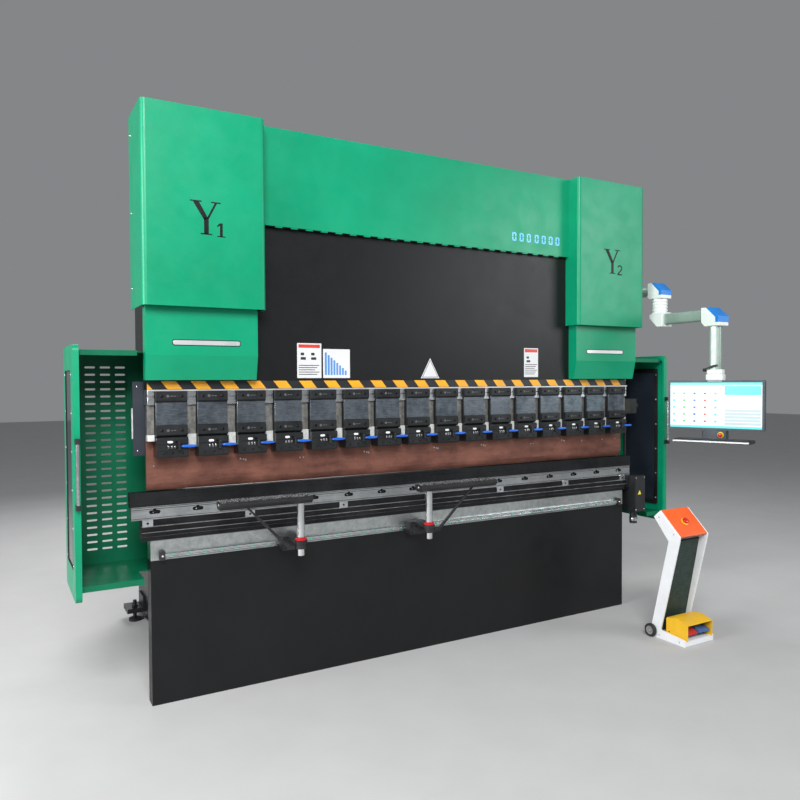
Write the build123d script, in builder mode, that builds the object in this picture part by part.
"""Hydraulic press brake for 3.2 m sheet, with guards, front supports, pendant and foot pedal.

Frame: +X right along the bend, -Y towards the operator, +Z up, millimetres.
The origin is on the floor, under the middle of the table plate, in the bending plane.
"""
from build123d import *
import os

os.makedirs("parts", exist_ok=True)

# ---- driving dimensions ------------------------------------------------------
bend_length = 3200.0        # working length of the table
stroke = 200.0              # travel of the ram
slack = 0.4                 # gap between pieces that slide or turn on each other
sheet = 3.0                 # gauge of the covers and guards

table_half = bend_length / 2
table_thick = 80.0
table_height = 813.0
die_half = table_half + 90      # half length of the V die
rail_half = table_half + 85     # half length of the die rail
crown_half = table_half + 40    # half length of the crowning unit
crown_height = 104.0
die_rail_height = 64.0
die_height = 69.0
die_to_punch = 6.0          # daylight left over the die with the ram down

frame_outer = table_half - 210  # outer face of each side frame
frame_thick = 60.0
frame_rear = 1560.0
frame_base = 20.0
frame_top = 2870.0
throat_depth = 400.0
throat_low = table_height - 40
throat_high = 1560.0
throat_corner = 60.0

ram_half = table_half + 10
ram_front = -60.0
ram_back = 30.0
ram_bottom = 1551.0
ram_end_top = 1860.0
ram_middle_top = 2500.0
ram_middle_half = table_half - 410

cylinder_x = frame_outer - 42
cylinder_y = -15.0
cylinder_radius = 108.0
bore_radius = 88.0
rod_radius = 60.0
cylinder_low = 2100.0
cylinder_high = 2790.0
cylinder_seat = 130.0       # front edge of the side frame behind a cylinder

cover_in = table_half - 550     # inner side of the upper covers
cover_out = table_half + 47
cover_front = -186.0
cover_rear = 130.0
cover_low = 1948.0
cover_top = 2900.0
cover_bend = 22.0

ram_cover_in = cover_in + 30
ram_cover_out = cover_out - 21
ram_cover_front = -133.0
ram_cover_toe = -106.0      # front of the cover's lower edge
ram_cover_low = 1597.0
ram_cover_knee = 1716.0
ram_cover_high = 2150.0

beam_front = -90.0          # face of the crossbeam cover
beam_low = 2395.0

clamp_count = 16
clamp_pitch = bend_length / clamp_count
clamp_gap = 50.0
clamp_width = clamp_pitch - clamp_gap
clamp_low = 1220.0
clamp_seat = 1320.0         # underside of the clamp block, which the punch butts on
punch_half_thick = 14.0

guard_out = table_half + 344    # outer face of the guard doors
guard_door_thick = 28.0
guard_front = -132.0
guard_rear = 310.0
guard_low = 579.0
guard_high = 1760.0
guard_back_wall = 340.0

support_y = -230.0          # axis of the front support posts
support_rail_z = table_height - 75.5
support_left_x = -895.0
support_right_x = -122.0
post_radius = 20.0

pendant_x = table_half + 200
elbow_y = -192.0            # first pendant elbow
monitor_y = -640.0          # second pendant elbow, over the screen
monitor_width = 587.0
monitor_height = 321.0
monitor_turn = -68.0        # heading of the screen's long edge

stand_in = table_half - 315     # left and right faces of the pedal stand
stand_out = stand_in + 256


# ---- shared operations -------------------------------------------------------
def slab(x, y, z, mode=Mode.ADD):
    """A rectangular block over three spans, joined to the part being built."""
    with Locations(((x[0] + x[1]) / 2, (y[0] + y[1]) / 2, (z[0] + z[1]) / 2)):
        Box(x[1] - x[0], y[1] - y[0], z[1] - z[0], mode=mode)


def rod(axis, centre, radius, span, mode=Mode.ADD):
    """A cylinder along X, Y or Z; centre gives its other two coordinates in order."""
    middle = (span[0] + span[1]) / 2
    places = {
        "X": ((middle, centre[0], centre[1]), (0, 90, 0)),
        "Y": ((centre[0], middle, centre[1]), (90, 0, 0)),
        "Z": ((centre[0], centre[1], middle), (0, 0, 0)),
    }
    place, turn = places[axis]
    with Locations(Location(place, turn)):
        Cylinder(radius, span[1] - span[0], mode=mode)


def side_profile(points, x, mode=Mode.ADD):
    """A (y, z) outline carried along X over the span x."""
    with BuildSketch(Plane.YZ.offset(x[0])) as outline:
        with BuildLine():
            Polyline(*points, close=True)
        make_face()
    extrude(outline.sketch, amount=x[1] - x[0], mode=mode)


def save(part, label):
    """Name a finished piece and write it to its own file."""
    part.label = label
    export_step(part, f"parts/{label}.step")


def span(side, near, far):
    """An x span given by its distances from the middle, on the left (-1) or right (1)."""
    return (near, far) if side > 0 else (-far, -near)


sides = {"left": -1, "right": 1}

# ---- heights that follow from the ones above ---------------------------------
crown_top = table_height + crown_height
die_rail_top = crown_top + die_rail_height
die_top = die_rail_top + die_height
punch_tip = die_top + die_to_punch
table_front = -table_thick / 2
frame_front = table_thick / 2
frame_inner = frame_outer - frame_thick

# ---- side frames: C plates with the gibs that guide the ram ------------------
gib_thick = 20.0
gib_low = 1600.0
gib_high = 1850.0
jaw_front = ram_back + slack + gib_thick
frame_slope_y = 900.0
frame_slope_z = 2350.0
cover_arm_heights = (2010.0, 2820.0)
cover_arm_size = 30.0
cylinder_relief = 40.0
for name, side in sides.items():
    outline = [
        (frame_front, frame_base),
        (frame_rear, frame_base),
        (frame_rear, frame_slope_z),
        (frame_slope_y, frame_top),
        (cylinder_seat, frame_top),
        (cylinder_seat, cylinder_low - cylinder_relief),
        (jaw_front, cylinder_low - cylinder_relief),
        (jaw_front, throat_high),
        (throat_depth, throat_high),
        (throat_depth, throat_low),
        (frame_front, throat_low),
    ]
    with BuildPart() as side_frame:
        side_profile(outline, span(side, frame_inner, frame_outer))
        inner_corners = side_frame.edges().filter_by(Axis.X).filter_by(
            lambda e: abs(e.center().Y - throat_depth) < 1 and e.center().Z < throat_high + 1
        )
        fillet(inner_corners, throat_corner)
        frame_span = span(side, frame_inner, frame_outer)
        slab(frame_span, (jaw_front - gib_thick, jaw_front), (gib_low, gib_high))
        for height in cover_arm_heights:
            slab(
                span(side, frame_outer, cover_out - sheet),
                (cover_rear - cover_arm_size, cover_rear),
                (height, height + cover_arm_size),
            )
            slab(
                frame_span,
                (cover_rear - cover_arm_size, cover_rear),
                (height, height + cover_arm_size),
            )
    save(side_frame.part, f"side_frame_{name}")

# ---- lower table: one thick plate between the frames' lower jaws -------------
with BuildPart() as lower_table:
    slab((-table_half, table_half), (table_front, -table_front), (0, table_height))
    chamfer(lower_table.edges().filter_by(Axis.X).group_by(Axis.Z)[-1], 2)
save(lower_table.part, "lower_table")

# ---- crowning unit: stepped wedge bars under the die rail --------------------
crown_waist = 26.0
crown_steps = [(38.0, 0.0), (46.0, 22.0), (38.0, 43.0), (30.0, 70.0)]
tab_end = crown_half - 30
tab_places = (-tab_end, -1097.0, -560.0, 0.0, 532.0, 1077.0, tab_end)
tab_width = 50.0
tab_height = 34.0
tab_front = 33.0
with BuildPart() as crowning_unit:
    for step, (half_depth, low) in enumerate(crown_steps):
        high = crown_steps[step + 1][1] if step + 1 < len(crown_steps) else crown_height
        half_depth = half_depth if step + 1 < len(crown_steps) else crown_waist
        slab(
            (-crown_half, crown_half),
            (-half_depth, half_depth),
            (table_height + low, table_height + high),
        )
    for x in tab_places:
        tab_span = (x - tab_width / 2, x + tab_width / 2)
        slab(tab_span, (-tab_front, -crown_waist), (crown_top - tab_height, crown_top))
save(crowning_unit.part, "crowning_unit")

# ---- die rail with its keyhole slots -----------------------------------------
rail_depth = 27.0
key_pitch = 210.0
key_margin = 100.0
key_count = int(2 * (rail_half - key_margin) // key_pitch) + 1
key_length = 44.0
key_height = 14.0
key_recess = 8.0
key_z = die_rail_top - die_rail_height * 0.45
with BuildPart() as die_rail:
    slab((-rail_half, rail_half), (-rail_depth, rail_depth), (crown_top, die_rail_top))
    with BuildSketch(Plane.XZ.offset(rail_depth)):
        with Locations((0, key_z)):
            with GridLocations(key_pitch, 1, key_count, 1):
                SlotOverall(key_length, key_height)
        with Locations((0, key_z + key_height / 2)):
            with GridLocations(key_pitch, 1, key_count, 1):
                Circle(key_height / 2)
    extrude(amount=-key_recess, mode=Mode.SUBTRACT)
save(die_rail.part, "die_rail")

# ---- V die -------------------------------------------------------------------
die_depth = 30.0
vee_half = 12.0
vee_deep = 14.0
with BuildPart() as v_die:
    slab((-die_half, die_half), (-die_depth, die_depth), (die_rail_top, die_top))
    side_profile(
        [(-vee_half, die_top), (0, die_top - vee_deep), (vee_half, die_top)],
        (-die_half, die_half),
        mode=Mode.SUBTRACT,
    )
save(v_die.part, "v_die")

# ---- hydraulic cylinders with their manifolds --------------------------------
bore_low = cylinder_low + 40
bore_high = cylinder_high - 50
manifold_half = 90.0
manifold_height = 66.0
with BuildPart() as hydraulic_cylinders:
    for side in sides.values():
        place = (side * cylinder_x, cylinder_y)
        rod("Z", place, cylinder_radius, (cylinder_low, cylinder_high))
        slab(
            (place[0] - 100, place[0] + 100),
            (cylinder_y, cylinder_seat),
            (cylinder_low + 60, cylinder_high - 60),
        )
        slab(
            (place[0] - manifold_half, place[0] + manifold_half),
            (cylinder_y - manifold_half, cylinder_y + manifold_half),
            (cylinder_high, cylinder_high + manifold_height),
        )
        rod("Z", place, bore_radius, (bore_low, bore_high), mode=Mode.SUBTRACT)
        rod("Z", place, rod_radius + slack, (cylinder_low, bore_low), mode=Mode.SUBTRACT)
save(hydraulic_cylinders.part, "hydraulic_cylinders")

# ---- cylinder covers: bent sheet boxes, open behind and below ----------------
for name, side in sides.items():
    with BuildPart() as cylinder_cover:
        slab(span(side, cover_in, cover_out), (cover_front, cover_rear), (cover_low, cover_top))
        front_bends = cylinder_cover.edges().filter_by(Axis.Z).group_by(Axis.Y)[0]
        fillet(front_bends, cover_bend)
        with BuildSketch(Plane.XY.offset(cover_low)):
            with BuildLine():
                low, high = span(side, cover_in + sheet, cover_out - sheet)
                Polyline(
                    (low, cover_front + sheet),
                    (high, cover_front + sheet),
                    (high, cover_rear + 1),
                    (low, cover_rear + 1),
                    close=True,
                )
            made = make_face()
            fillet(made.vertices().group_by(Axis.Y)[0], cover_bend - sheet)
        extrude(amount=cover_top - cover_low - sheet, mode=Mode.SUBTRACT)
        slab(
            span(side, cover_in - 1, cover_in + sheet + 1),
            (ram_front - 2, cover_rear + 1),
            (cover_low - 1, cover_top - sheet),
            mode=Mode.SUBTRACT,
        )
    save(cylinder_cover.part, f"cylinder_cover_{name}")

# ---- crossbeam cover between them, with vents in its lower lip ---------------
beam_half = cover_in - 0.5
lip_rear = ram_front - 4
vent_pitch = 86.0
vent_count = int(2 * beam_half // vent_pitch)
with BuildPart() as crossbeam_cover:
    slab((-beam_half, beam_half), (beam_front, beam_front + sheet), (beam_low, cover_top))
    slab((-beam_half, beam_half), (beam_front, cover_rear), (cover_top - sheet, cover_top))
    slab((-beam_half, beam_half), (beam_front, lip_rear), (beam_low, beam_low + sheet))
    with BuildSketch(Plane.XY.offset(beam_low)):
        with Locations((0, (beam_front + lip_rear) / 2)):
            with GridLocations(vent_pitch, 1, vent_count, 1):
                SlotOverall(56, 9)
    extrude(amount=sheet, mode=Mode.SUBTRACT)
    slab((-beam_half, beam_half), (cover_rear - 20, cover_rear), (cover_top - 40, cover_top - sheet))
save(crossbeam_cover.part, "crossbeam_cover")

# ---- oil tank: welded box that also ties the two frames together -------------
tank_rear = 560.0
tank_low = 2330.0
tank_high = 2862.0
tank_wall = 8.0
with BuildPart() as oil_tank:
    slab((-frame_inner, frame_inner), (cover_rear, tank_rear), (tank_low, tank_high))
    slab(
        (-frame_inner + tank_wall, frame_inner - tank_wall),
        (cover_rear + tank_wall, tank_rear - tank_wall),
        (tank_low + tank_wall, tank_high - tank_wall),
        mode=Mode.SUBTRACT,
    )
    rod("Z", (-900, tank_rear - 50), 35, (tank_high, tank_high + 26))
save(oil_tank.part, "oil_tank")

# ---- hydraulic power unit: motor, pump and valve block behind the tank -------
motor_y = 700.0
motor_z = 2560.0
motor_radius = 115.0
pipe_radius = 11.0
pipe_z = frame_top + 13
pipe_y = 420.0
block_high = pipe_z + 15
pump_x = 180.0
elbow_half_size = 14.0


def elbow_block(x, y):
    """The square fitting where two pipes meet at the height of the main pipe."""
    with Locations((x, y, pipe_z)):
        Box(2 * elbow_half_size, 2 * elbow_half_size, 2 * pipe_radius + 2)


with BuildPart() as hydraulic_power_unit:
    slab((-330, 330), (tank_rear, motor_y + 110), (motor_z - 150, motor_z - 135))
    slab((-230, -30), (motor_y - 60, motor_y + 60), (motor_z - 135, motor_z - 60))
    rod("X", (motor_y, motor_z), motor_radius, (-300, 60))
    slab((-200, -80), (motor_y - 50, motor_y + 50), (motor_z + 90, motor_z + 150))
    rod("X", (motor_y, motor_z), 80, (60, 110))
    rod("X", (motor_y, motor_z), 55, (110, 260))
    slab((120, 240), (tank_rear, motor_y), (motor_z - 30, motor_z + 30))
    slab((-70, 70), (pipe_y - 60, pipe_y + 60), (tank_high, block_high))
    rod("X", (pipe_y, pipe_z), pipe_radius, (-cylinder_x, cylinder_x))
    rod("Y", (pump_x, pipe_z), pipe_radius, (pipe_y, motor_y))
    rod("Z", (pump_x, motor_y), pipe_radius, (motor_z + 40, pipe_z))
    elbow_block(pump_x, motor_y)
    elbow_block(pump_x, pipe_y)
    for side in sides.values():
        rod("Y", (side * cylinder_x, pipe_z), pipe_radius, (cylinder_y + 20, pipe_y))
        elbow_block(side * cylinder_x, cylinder_y + 20)
        elbow_block(side * cylinder_x, pipe_y)
        drop_span = (cylinder_high + manifold_height, pipe_z)
        rod("Z", (side * cylinder_x, cylinder_y + 20), pipe_radius, drop_span)
save(hydraulic_power_unit.part, "hydraulic_power_unit")

# ---- fixed guards: perforated wall, roof and floor tray on each side ---------
slot_rows = 26
slot_columns = 3
slot_pitch_z = 37.7
slot_pitch_x = 73.0
slot_long = 50.0
slot_high = 10.0
slot_middle_x = table_half + 146
slot_middle_z = 1194.0
tray_low = 645.0
roof_high = 1738.0
wall_out = guard_out - guard_door_thick - 2
guard_lip = 25.0
tray_front = -100.0
scale_out = table_half + 180    # outer end of the ram scale's head
tray_cut = {"left": table_half + 40, "right": scale_out}
roof_cut = table_half + 60
tray_cut_rear = ram_back + 30
hinge_post = 24.0
hinge_x = guard_out - guard_door_thick / 2
hinge_y = guard_rear + 12
hinge_heights = (770.0, 1600.0)
hinge_pin = 5.0
knuckle = 9.0
knuckle_half = 25.0
lug_high = 20.0
for name, side in sides.items():
    with BuildPart() as guard_panel:
        slab(
            span(side, frame_outer, hinge_x + knuckle),
            (guard_back_wall, guard_back_wall + sheet),
            (tray_low, roof_high),
        )
        pin_place = (side * hinge_x, hinge_y)
        for height in hinge_heights:
            pin_low = height - knuckle_half - lug_high
            rod("Z", pin_place, hinge_pin, (pin_low, height + knuckle_half))
            for low in (pin_low, height + knuckle_half + slack):
                rod("Z", pin_place, knuckle, (low, low + lug_high - slack))
                slab(
                    span(side, hinge_x - knuckle, hinge_x + knuckle),
                    (hinge_y, guard_back_wall),
                    (low, low + lug_high - slack),
                )
        across = span(side, frame_outer, wall_out)
        lip_depth = (tray_front, tray_front + sheet)
        slab(across, (tray_front, guard_back_wall), (tray_low, tray_low + sheet))
        slab(across, lip_depth, (tray_low - guard_lip, tray_low))
        slab(across, (tray_front, guard_back_wall), (roof_high - sheet, roof_high))
        slab(across, lip_depth, (roof_high - guard_lip, roof_high - sheet))
        slab(
            span(side, wall_out - hinge_post, wall_out),
            (guard_back_wall - hinge_post, guard_back_wall),
            (tray_low, roof_high),
        )
        slab(
            span(side, frame_outer, tray_cut[name]),
            (tray_front - 1, tray_cut_rear),
            (tray_low - guard_lip - 1, tray_low + sheet + 1),
            mode=Mode.SUBTRACT,
        )
        slab(
            span(side, frame_outer, roof_cut),
            (tray_front - 1, tray_cut_rear),
            (roof_high - guard_lip - 1, roof_high + 1),
            mode=Mode.SUBTRACT,
        )
        with BuildSketch(Plane.XZ.offset(-guard_back_wall)):
            with Locations((side * slot_middle_x, slot_middle_z)):
                with GridLocations(slot_pitch_x, slot_pitch_z, slot_columns, slot_rows):
                    SlotOverall(slot_long, slot_high)
        extrude(amount=-sheet, mode=Mode.SUBTRACT)
    save(guard_panel.part, f"guard_panel_{name}")

# ---- guard doors: framed window, handle, hinged at their rear edge -----------
window_front = -34.0
window_rear = 232.0
window_low = 714.0
window_high = 1644.0
pane = 5.0
handle_reach = 36.0
handle_spans = {"left": (1009.0, 1334.0), "right": (1133.0, 1465.0)}
door_inner = guard_out - guard_door_thick
for name, side in sides.items():
    handle_low, handle_high = handle_spans[name]
    handle_x = side * (guard_out - guard_door_thick / 2)
    with BuildPart() as guard_door:
        slab(span(side, door_inner, guard_out), (guard_front, guard_rear), (guard_low, guard_high))
        fillet(guard_door.edges().filter_by(Axis.X).group_by(Axis.Z)[-1], 30)
        slab(
            span(side, door_inner - 1, guard_out - sheet),
            (guard_front + sheet, guard_rear - sheet),
            (guard_low + sheet, guard_high - 34),
            mode=Mode.SUBTRACT,
        )
        slab(
            span(side, door_inner - 1, guard_out + 1),
            (window_front, window_rear),
            (window_low, window_high),
            mode=Mode.SUBTRACT,
        )
        slab(
            span(side, guard_out - sheet - pane, guard_out - sheet),
            (window_front - 20, window_rear + 20),
            (window_low - 20, window_high + 20),
        )
        for height in (handle_low, handle_high - 26):
            slab(
                (handle_x - 10, handle_x + 10),
                (guard_front - handle_reach, guard_front),
                (height, height + 26),
            )
        rod("Z", (handle_x, guard_front - handle_reach + 10), 8, (handle_low + 10, handle_high - 10))
        for height in hinge_heights:
            rod("Z", (side * hinge_x, hinge_y), knuckle, (height - knuckle_half, height + knuckle_half))
            slab(
                span(side, hinge_x - knuckle, hinge_x + knuckle),
                (guard_rear - 1, hinge_y),
                (height - knuckle_half, height + knuckle_half),
            )
            rod(
                "Z",
                (side * hinge_x, hinge_y),
                hinge_pin + slack,
                (height - knuckle_half, height + knuckle_half),
                mode=Mode.SUBTRACT,
            )
    save(guard_door.part, f"guard_door_{name}")

# ---- support guide rail on the table's face ----------------------------------
guide_half = table_half - 65
guide_high = 12.5
guide_deep = 20.0
with BuildPart() as support_guide_rail:
    slab(
        (-guide_half, guide_half),
        (table_front - guide_deep, table_front),
        (support_rail_z - guide_high, support_rail_z + guide_high),
    )
    for side in sides.values():
        slab(
            span(side, guide_half, guide_half + 25),
            (table_front - guide_deep - 8, table_front),
            (support_rail_z - 22, support_rail_z + 25),
        )
save(support_guide_rail.part, "support_guide_rail")

# ---- levelling feet: bracket, jack bolt and anchor hole at each corner -------
foot_places = (250.0, 1400.0)
foot_x = frame_outer + 60
foot_half = 80.0
jack_radius = 12.0
anchor_radius = 11.0
foot_bolt_offset = 40.0
foot_low = 58.0
foot_thick = 30.0
foot_high = foot_low + foot_thick
web_high = 160.0
pad_radius = 38.0
with BuildPart() as levelling_feet:
    for side in sides.values():
        for y in foot_places:
            along = (y - foot_half, y + foot_half)
            through = (foot_low - 1, foot_high + 1)
            anchor = (side * foot_x, y + foot_bolt_offset)
            jack = (side * foot_x, y - foot_bolt_offset)
            slab(span(side, frame_outer, frame_outer + 112), along, (foot_low, foot_high))
            slab(span(side, frame_outer, frame_outer + 14), along, (foot_high, web_high))
            rod("Z", anchor, anchor_radius, through, mode=Mode.SUBTRACT)
            rod("Z", jack, jack_radius + slack, through, mode=Mode.SUBTRACT)
    for side in sides.values():
        for y in foot_places:
            jack = (side * foot_x, y - foot_bolt_offset)
            rod("Z", jack, jack_radius, (0, 136))
            rod("Z", jack, pad_radius, (0, 18))
            with BuildSketch(Plane.XY.offset(foot_high)):
                with Locations(jack):
                    RegularPolygon(18, 6)
            extrude(amount=16)
save(levelling_feet.part, "levelling_feet")

# ---- back gauge: slides, cross beam and two stop fingers ---------------------
slide_x = table_half - 700
slide_half = 40.0
slide_low = 700.0
slide_high = 790.0
slide_rear = 980.0
slide_rail_half = 12.0
slide_rail_high = 15.0
with BuildPart() as backgauge_slides:
    for side in sides.values():
        slab(
            (side * slide_x - slide_half, side * slide_x + slide_half),
            (frame_front, slide_rear),
            (slide_low, slide_high),
        )
        slab(
            (side * slide_x - slide_rail_half, side * slide_x + slide_rail_half),
            (frame_front + 20, slide_rear - 20),
            (slide_high, slide_high + slide_rail_high),
        )
    slab((-frame_inner, frame_inner), (slide_rear, slide_rear + 60), (slide_low - 60, slide_high))
save(backgauge_slides.part, "backgauge_slides")

gauge_y = 520.0
gauge_depth = 80.0
gauge_half = table_half - 360
gauge_low = 930.0
gauge_high = 1010.0
gauge_rail = 14.0
with BuildPart() as backgauge_beam:
    slab((-gauge_half, gauge_half), (gauge_y, gauge_y + gauge_depth), (gauge_low, gauge_high))
    slab(
        (-gauge_half + 20, gauge_half - 20),
        (gauge_y + 28, gauge_y + 52),
        (gauge_high, gauge_high + gauge_rail),
    )
    for side in sides.values():
        middle = side * slide_x
        slab(
            (middle - 45, middle + 45),
            (gauge_y - 40, gauge_y + gauge_depth + 40),
            (slide_high + slide_rail_high + slack, gauge_low),
        )
        for cheek in (-1, 1):
            near = middle + cheek * (slide_rail_half + slack)
            far = middle + cheek * 45
            slab(
                (min(near, far), max(near, far)),
                (gauge_y - 40, gauge_y + gauge_depth + 40),
                (slide_high + 2, slide_high + slide_rail_high + slack),
            )
save(backgauge_beam.part, "backgauge_beam")

finger_x = 500.0
finger_tip = 250.0
for name, side in sides.items():
    middle = side * finger_x
    with BuildPart() as backgauge_finger:
        slab(
            (middle - 45, middle + 45),
            (gauge_y - 10, gauge_y + gauge_depth),
            (gauge_high + gauge_rail + slack, gauge_high + gauge_rail + 26),
        )
        for cheek in ((gauge_y, gauge_y + 28 - slack), (gauge_y + 52 + slack, gauge_y + gauge_depth)):
            slab((middle - 45, middle + 45), cheek, (gauge_high + slack, gauge_high + gauge_rail + slack))
        slab(
            (middle - 20, middle + 20),
            (finger_tip + 30, gauge_y + 20),
            (gauge_high + gauge_rail + 26, gauge_high + gauge_rail + 56),
        )
        slab(
            (middle - 30, middle + 30),
            (finger_tip, finger_tip + 30),
            (gauge_high + gauge_rail + 20, gauge_high + gauge_rail + 66),
        )
    save(backgauge_finger.part, f"backgauge_finger_{name}")

# ---- electrical cabinet on the right frame, behind the guard -----------------
cabinet_out = table_half + 120
cabinet_front = 620.0
cabinet_rear = 1240.0
cabinet_low = 640.0
cabinet_high = 1690.0
cabinet_wall = 3.0
with BuildPart() as electrical_cabinet:
    slab((frame_outer, cabinet_out), (cabinet_front, cabinet_rear), (cabinet_low, cabinet_high))
    slab(
        (frame_outer + cabinet_wall, cabinet_out - cabinet_wall),
        (cabinet_front + cabinet_wall, cabinet_rear - cabinet_wall),
        (cabinet_low + cabinet_wall, cabinet_high - cabinet_wall),
        mode=Mode.SUBTRACT,
    )
    slab(
        (cabinet_out, cabinet_out + 22),
        (cabinet_front + 8, cabinet_rear - 8),
        (cabinet_low + 8, cabinet_high - 8),
    )
    slab((cabinet_out + 22, cabinet_out + 40), (cabinet_front + 50, cabinet_front + 76), (1120, 1260))
save(electrical_cabinet.part, "electrical_cabinet")

# ---- right side electrics: crowning drive, ram scale head and the lead between them 
drive_in = crown_half
drive_out = table_half + 162
scale_in = table_half + 35
scale_low = 1350.0
scale_high = 1454.0
lead_x = table_half + 100
lead_y = 30.0
with BuildPart() as side_electrics:
    slab((drive_in, drive_in + 22), (-46, 40), (table_height + 17, crown_top - 6))
    slab((drive_in + 22, drive_out), (-100, 60), (660, 914))
    rod("Z", (drive_in + 70, -40), 26, (570, 660))
    slab((frame_outer, scale_in + 30), (62, 74), (scale_low + 20, scale_high - 20))
    slab((scale_in, scale_out), (-4, 62), (scale_low, scale_high))
    rod("X", (30, (scale_low + scale_high) / 2), 24, (scale_out, scale_out + 26))
    rod("Z", (lead_x, lead_y), 7, (914, scale_low))
save(side_electrics.part, "side_electrics")

# ---- ram: one plate, raised in the middle ------------------------------------
with BuildPart() as ram_beam:
    with BuildSketch(Plane.XZ.offset(-ram_back)):
        with BuildLine():
            Polyline(
                (-ram_half, ram_bottom),
                (ram_half, ram_bottom),
                (ram_half, ram_end_top),
                (ram_middle_half, ram_end_top),
                (ram_middle_half, ram_middle_top),
                (-ram_middle_half, ram_middle_top),
                (-ram_middle_half, ram_end_top),
                (-ram_half, ram_end_top),
                close=True,
            )
        make_face()
    extrude(amount=ram_back - ram_front)
save(ram_beam.part, "ram_beam")

# ---- piston rods with their feet on the ram ----------------------------------
piston_low = bore_low + 30
piston_high = piston_low + 90
with BuildPart() as piston_rods:
    for side in sides.values():
        place = (side * cylinder_x, cylinder_y)
        slab(
            (place[0] - 80, place[0] + 80),
            (ram_front + 2, ram_back - 2),
            (ram_end_top, ram_end_top + 30),
        )
        rod("Z", place, rod_radius, (ram_end_top + 20, piston_high))
        rod("Z", place, bore_radius - slack, (piston_low, piston_high))
save(piston_rods.part, "piston_rods")

# ---- ram covers: sheet hoods with a sloped toe, on the ram's face ------------
flange = 34.0
for name, side in sides.items():
    with BuildPart() as ram_cover:
        side_profile(
            [
                (ram_front, ram_cover_low),
                (ram_cover_toe, ram_cover_low),
                (ram_cover_front, ram_cover_knee),
                (ram_cover_front, ram_cover_high),
                (ram_front, ram_cover_high),
            ],
            span(side, ram_cover_in, ram_cover_out),
        )
        side_profile(
            [
                (ram_front + 1, ram_cover_low - 1),
                (ram_cover_toe + sheet, ram_cover_low - 1),
                (ram_cover_front + sheet, ram_cover_knee),
                (ram_cover_front + sheet, ram_cover_high + 1),
                (ram_front + 1, ram_cover_high + 1),
            ],
            span(side, ram_cover_in + sheet, ram_cover_out - sheet),
            mode=Mode.SUBTRACT,
        )
        for near, far in ((ram_cover_in, ram_cover_in + flange), (ram_cover_out - flange, ram_cover_out)):
            slab(span(side, near, far), (ram_front - sheet, ram_front), (ram_cover_low, ram_end_top - 10))
    save(ram_cover.part, f"ram_cover_{name}")

# ---- quick clamps in a row under the ram -------------------------------------
clamp_centres = [(k - (clamp_count - 1) / 2) * clamp_pitch for k in range(clamp_count)]
clamp_face = -70.0
clamp_back = ram_back
bracket_face = -90.0
jaw_face = -100.0
plate_face = -80.0
lever_pivot = 30.0
lever_y = -111.0
lever_z = 1275.0
lug_radius = 8.0
pin_radius = 4.0
with BuildPart() as clamp_bodies:
    for x in clamp_centres:
        across = (x - clamp_width / 2, x + clamp_width / 2)
        slab(across, (clamp_face, clamp_back), (clamp_seat, ram_bottom))
        slab(across, (bracket_face, clamp_face), (1489, 1543))
        slab(across, (plate_face, clamp_face), (1377, 1489))
        slab(across, (bracket_face, clamp_face), (clamp_seat, 1377))
        slab(across, (jaw_face, -punch_half_thick - slack), (clamp_low, clamp_seat))
        slab(across, (punch_half_thick + slack, clamp_back), (clamp_low + 10, clamp_seat))
        pivot = x + lever_pivot
        for low in (lever_z - 19, lever_z + 11):
            lug_span = (pivot - lug_radius, pivot + lug_radius)
            slab(lug_span, (lever_y - lug_radius, jaw_face), (low, low + 8))
        rod("Z", (pivot, lever_y), pin_radius, (lever_z - 19, lever_z + 19))
save(clamp_bodies.part, "clamp_bodies")

# ---- one lever to each clamp -------------------------------------------------
lever_end = 114.0
for number, x in enumerate(clamp_centres, start=1):
    pivot = x + lever_pivot
    with BuildPart() as clamp_lever:
        rod("Z", (pivot, lever_y), lug_radius, (lever_z - 11 + slack, lever_z + 11 - slack))
        slab((pivot, x + lever_end), (lever_y - 6, lever_y + 6), (lever_z - 8, lever_z + 8))
        rod("Z", (pivot, lever_y), pin_radius + slack, (lever_z - 20, lever_z + 20), mode=Mode.SUBTRACT)
    save(clamp_lever.part, f"clamp_lever_{number:02d}")

# ---- spacer blocks and wedge bars in the gaps between the clamps -------------
gap_play = 2.0
gap_half = clamp_gap / 2 - gap_play
gap_centres = [x + clamp_pitch / 2 for x in clamp_centres[:-1]]
spacer_spans = [(x - gap_half, x + gap_half) for x in gap_centres]
end_start = clamp_centres[-1] + clamp_width / 2 + gap_play
spacer_spans.insert(0, (-ram_half, -end_start))
spacer_spans.append((end_start, ram_half))
with BuildPart() as clamp_spacers:
    for across in spacer_spans:
        slab(across, (-66, ram_back), (1517, ram_bottom))
        slab(across, (-58, ram_back), (1513, 1517))
        slab(across, (-66, ram_back), (1475, 1513))
        slab(across, (-52, -punch_half_thick - slack), (1330, 1475))
        slab(across, (-60, -punch_half_thick - slack), (1266, 1330))
save(clamp_spacers.part, "clamp_spacers")

# ---- punch in four lengths ---------------------------------------------------
punch_pieces = 4
punch_joint = 0.4
punch_body_top = 1262.0
punch_tip_half = 1.5
tang_half = 8.0
punch_length = 2 * ram_half / punch_pieces
with BuildPart() as punch:
    for piece in range(punch_pieces):
        start = -ram_half + piece * punch_length
        side_profile(
            [
                (-punch_tip_half, punch_tip),
                (punch_tip_half, punch_tip),
                (punch_half_thick, punch_tip + 34),
                (punch_half_thick, punch_body_top),
                (tang_half, punch_body_top),
                (tang_half, clamp_seat),
                (-tang_half, clamp_seat),
                (-tang_half, punch_body_top),
                (-punch_half_thick, punch_body_top),
                (-punch_half_thick, punch_tip + 34),
            ],
            (start, start + punch_length - punch_joint),
        )
save(punch.part, "punch")

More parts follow.
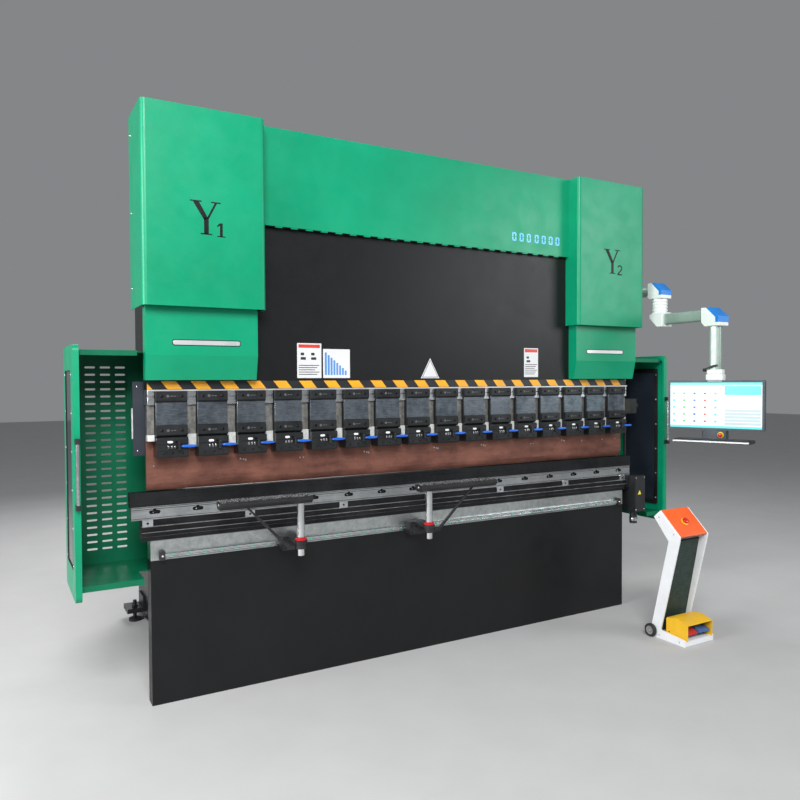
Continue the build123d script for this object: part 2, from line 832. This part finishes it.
# ---- front supports: carriage on the rail, swivelling post with its tray -----
carriage_half = 55.0
carriage_front = -112.0
rail_face = table_front - guide_deep
sleeve_low = 758.0
sleeve_high = 775.0
post_low = 697.0
tray_low_z = 967.0
tray_high_z = 1012.0
tray_half_wide = 40.0
tray_chamfer = 18.0
strut_wide = 12.0
strut_half = 6.0
strut_share = 0.65          # how far out along the tray the strut meets it
supports = {
    "left": (support_left_x, -421.0, 55.0),
    "right": (support_right_x, 452.0, -68.0),
}
for name, (x, reach, tail) in supports.items():
    outward = -1 if reach < 0 else 1
    with BuildPart() as support_carriage:
        slab(
            (x - carriage_half, x + carriage_half),
            (carriage_front, rail_face - slack),
            (support_rail_z - 36, sleeve_high),
        )
        slab(
            (x - carriage_half, x + carriage_half),
            (rail_face - slack, rail_face + 12),
            (support_rail_z + guide_high + slack, sleeve_high - 8),
        )
        slab(
            (x - carriage_half, x + carriage_half),
            (rail_face - slack, rail_face + 12),
            (support_rail_z - 30, support_rail_z - guide_high - slack),
        )
        slab((x - 26, x + 26), (support_y, carriage_front), (sleeve_low, sleeve_high))
        rod("Z", (x, support_y), post_radius + 13, (sleeve_low, sleeve_high))
        rod("Z", (x, support_y), post_radius + slack, (sleeve_low - 1, sleeve_high + 1), mode=Mode.SUBTRACT)
    save(support_carriage.part, f"support_carriage_{name}")

    foot = x + outward * 62
    strut_top = x + reach * strut_share
    strut = [
        (foot, sleeve_low - 22),
        (foot + outward * strut_wide, sleeve_low - 22),
        (strut_top + outward * strut_wide, tray_low_z),
        (strut_top, tray_low_z),
    ]
    with BuildPart() as support_arm:
        slab(
            (min(x + reach, x + tail), max(x + reach, x + tail)),
            (support_y - tray_half_wide, support_y + tray_half_wide),
            (tray_low_z, tray_high_z),
        )
        tray_edges = support_arm.edges().filter_by(Axis.X).group_by(Axis.Z)[0]
        chamfer(tray_edges, tray_chamfer)
        rod("Z", (x, support_y), post_radius, (post_low, tray_low_z))
        rod("Z", (x, support_y), post_radius + 9, (sleeve_low - 26, sleeve_low - slack))
        rod("Z", (x, support_y), post_radius + 10, (sleeve_high + slack, sleeve_high + 18))
        slab(
            (min(x, foot + outward * strut_wide), max(x, foot + outward * strut_wide)),
            (support_y - strut_half, support_y + strut_half),
            (sleeve_low - 26, sleeve_low - 6),
        )
        with BuildSketch(Plane.XZ.offset(-support_y - strut_half)):
            with BuildLine():
                Polyline(*strut, close=True)
            make_face()
        extrude(amount=2 * strut_half)
    save(support_arm.part, f"support_arm_{name}")

# ---- pendant: fixed bracket, swinging arm, screen on its drop tube -----------
tube_radius = 36.0
bracket_y = 180.0
bracket_z = 2212.0
swivel_z = 2150.0
elbow_half = 50.0
arm_z = 2006.0
arm_high = 75.0
arm_wide = 60.0
drop_top = 1930.0
screen_top = 1583.0
with BuildPart() as pendant_bracket:
    slab((frame_outer, frame_outer + 14), (bracket_y - 50, bracket_y + 60), (bracket_z - 70, bracket_z + 70))
    rod("X", (bracket_y, bracket_z), tube_radius, (frame_outer + 14, pendant_x))
    slab(
        (pendant_x - tube_radius - 4, pendant_x + tube_radius + 4),
        (bracket_y - tube_radius - 4, bracket_y + tube_radius + 4),
        (bracket_z - tube_radius - 4, bracket_z + tube_radius + 4),
    )
    rod("Y", (pendant_x, bracket_z), tube_radius, (elbow_y + 40, bracket_y))
    side_profile(
        [
            (elbow_y + 66, swivel_z + 14),
            (elbow_y + 66, bracket_z + 50),
            (elbow_y + 4, bracket_z + 50),
            (elbow_y - 56, bracket_z - 6),
            (elbow_y - 56, swivel_z),
            (elbow_y + 52, swivel_z),
        ],
        (pendant_x - elbow_half, pendant_x + elbow_half),
    )
    rod("Z", (pendant_x, elbow_y), 20, (swivel_z - 60, swivel_z))
save(pendant_bracket.part, "pendant_bracket")

with BuildPart() as pendant_arm:
    rod("Z", (pendant_x, elbow_y), 52, (arm_z + 34, swivel_z - slack))
    side_profile(
        [
            (elbow_y + 52, arm_z + 34),
            (elbow_y + 52, arm_z + 10),
            (elbow_y - 14, arm_z - 52),
            (elbow_y - 62, arm_z - 52),
            (elbow_y - 62, arm_z + 48),
            (elbow_y + 20, arm_z + 48),
        ],
        (pendant_x - elbow_half, pendant_x + elbow_half),
    )
    slab(
        (pendant_x - arm_wide / 2, pendant_x + arm_wide / 2),
        (monitor_y + 40, elbow_y - 40),
        (arm_z - arm_high / 2, arm_z + arm_high / 2),
    )
    side_profile(
        [
            (monitor_y + 78, arm_z - 46),
            (monitor_y + 78, arm_z + 47),
            (monitor_y + 12, arm_z + 47),
            (monitor_y - 56, arm_z - 14),
            (monitor_y - 56, drop_top),
            (monitor_y + 52, drop_top),
        ],
        (pendant_x - elbow_half, pendant_x + elbow_half),
    )
    rod("Z", (pendant_x, elbow_y), 20 + slack, (swivel_z - 61, swivel_z), mode=Mode.SUBTRACT)
    rod("Z", (pendant_x, monitor_y), 18, (drop_top - 60, drop_top))
save(pendant_arm.part, "pendant_arm")

screen_thick = 46.0
shelf_depth = 150.0
shelf_width = 470.0
screen_plane = Plane(
    origin=(pendant_x, monitor_y, 0),
    x_dir=Vector(1, 0, 0).rotate(Axis.Z, monitor_turn),
    z_dir=(0, 0, 1),
)
screen_low = screen_top - monitor_height
box_low = screen_low - 56
shank_radius = 6.0
shank_bore = 24.0
button_height = screen_low - 28
button_face = screen_plane.offset(button_height).location * Location((40, -30, 0), (90, 0, 0))
with BuildPart() as pendant_monitor:
    with BuildSketch(screen_plane.offset(screen_top + 70)):
        RectangleRounded(72, 72, 16)
    extrude(amount=drop_top - slack - screen_top - 70)
    with BuildSketch(screen_plane.offset(screen_top - 10)):
        RectangleRounded(104, 84, 10)
    extrude(amount=80)
    with BuildSketch(screen_plane.offset(screen_low)):
        RectangleRounded(monitor_width, screen_thick, 8)
    extrude(amount=monitor_height)
    with BuildSketch(screen_plane.offset(box_low)):
        RectangleRounded(150, 60, 6)
    extrude(amount=56)
    with BuildSketch(screen_plane.offset(box_low - 20)):
        with Locations((0, -shelf_depth / 2 + 20)):
            RectangleRounded(shelf_width, shelf_depth, 8)
    extrude(amount=20)
    rod("Z", (pendant_x, monitor_y), 18 + slack, (drop_top - 61, drop_top), mode=Mode.SUBTRACT)
    with BuildSketch(button_face):
        Circle(shank_radius + slack)
    extrude(amount=-shank_bore, mode=Mode.SUBTRACT)
save(pendant_monitor.part, "pendant_monitor")

estop_travel = 5.0
with BuildPart() as monitor_estop:
    with BuildSketch(button_face):
        Circle(shank_radius)
    extrude(amount=-(shank_bore - estop_travel - 1))
    with BuildSketch(button_face * Location((0, 0, estop_travel + 1))):
        Circle(14)
    extrude(amount=12)
    with BuildSketch(button_face):
        Circle(shank_radius)
    extrude(amount=estop_travel + 1)
save(monitor_estop.part, "monitor_estop")

# ---- pedal stand: bent plates, hood and head, on a fixed axle ----------------
stand_plate = 10.0
stand_inner = (stand_in + stand_plate, stand_out - stand_plate)
head_front = (-790.0, 648.0)
head_top = (-642.0, 788.0)
head_back = (-595.0, 744.0)
neck_back = (-706.0, 610.0)
floor_front = -828.0
floor_high = 34.0
hood_front = -835.0
hood_rear = -677.0
hood_foot = floor_high - 6
hood_span = (stand_in + 17, stand_out - 17)
axle_place = (-587.0, 40.0)
axle_radius = 8.0
axle_reach = 32.0
pedal_pivot = (-700.0, 58.0)
pedal_pin = 5.0
stand_outline = [
    (floor_front, 0),
    (-560, 0),
    (-580, 67),
    neck_back,
    head_back,
    head_top,
    head_front,
    (-785, 618),
    (-650, 55),
    (floor_front, 40),
]
stand_middle = (stand_in + stand_out) / 2
button_plane = Plane(
    origin=(stand_middle, (head_front[0] + head_top[0]) / 2, (head_front[1] + head_top[1]) / 2),
    x_dir=(1, 0, 0),
    z_dir=(0, head_front[1] - head_top[1], head_top[0] - head_front[0]),
)
stem_radius = 8.0
with BuildPart() as pedal_stand:
    for low in (stand_in, stand_out - stand_plate):
        side_profile(stand_outline, (low, low + stand_plate))
    slab(stand_inner, (floor_front, -604), (2, floor_high))
    side_profile([(-604, floor_high - 10), (-616, floor_high - 10), (-732, 610), (-720, 614)], stand_inner)
    side_profile([head_front, head_top, (-635, 781), (-783, 641)], stand_inner)
    side_profile([head_top, head_back, (-602, 737), (-649, 781)], stand_inner)
    side_profile([head_back, (-702, 614), (-726, 600), (-602, 737)], stand_inner)
    side_profile(
        [
            (hood_front, 128),
            (-757, 152),
            (hood_rear, 138),
            (hood_rear, hood_foot),
            (hood_front, hood_foot),
        ],
        hood_span,
    )
    side_profile(
        [
            (hood_front - 1, 125),
            (-757, 149),
            (hood_rear - sheet, 135),
            (hood_rear - sheet, floor_high),
            (hood_front - 1, floor_high),
        ],
        (hood_span[0] + sheet, hood_span[1] - sheet),
        mode=Mode.SUBTRACT,
    )
    rod("X", axle_place, axle_radius, (stand_in - axle_reach, stand_out + axle_reach))
    rod("X", pedal_pivot, pedal_pin, hood_span)
    with BuildSketch(button_plane.offset(-1)):
        Circle(24)
    extrude(amount=7)
    with BuildSketch(button_plane.offset(6)):
        Circle(stem_radius + slack)
    extrude(amount=-24, mode=Mode.SUBTRACT)
save(pedal_stand.part, "pedal_stand")

pedal_outline = [(-822, 62), (-822, 72), (-770, 92), (-688, 92), (-688, 48), (-712, 48)]
pedal_width = 96.0
pedal_middles = {"red": stand_middle - 54, "blue": stand_middle + 54}
for name, middle in pedal_middles.items():
    pedal_span = (middle - pedal_width / 2, middle + pedal_width / 2)
    with BuildPart() as pedal:
        side_profile(pedal_outline, pedal_span)
        rod("X", pedal_pivot, pedal_pin + slack, pedal_span, mode=Mode.SUBTRACT)
    save(pedal.part, f"pedal_{name}")

with BuildPart() as stand_estop:
    with BuildSketch(button_plane.offset(6 + estop_travel)):
        Circle(19)
    extrude(amount=14)
    with BuildSketch(button_plane.offset(6 + estop_travel)):
        Circle(stem_radius)
    extrude(amount=-18)
save(stand_estop.part, "stand_estop")

wheel_radius = 39.7
wheel_width = 22.0
with BuildPart() as stand_wheels:
    for low in (stand_in - axle_reach + 4, stand_out + axle_reach - 4 - wheel_width):
        rod("X", axle_place, wheel_radius, (low, low + wheel_width))
    bore_span = (stand_in - 2 * axle_reach, stand_out + 2 * axle_reach)
    rod("X", axle_place, axle_radius + slack, bore_span, mode=Mode.SUBTRACT)
save(stand_wheels.part, "stand_wheels")
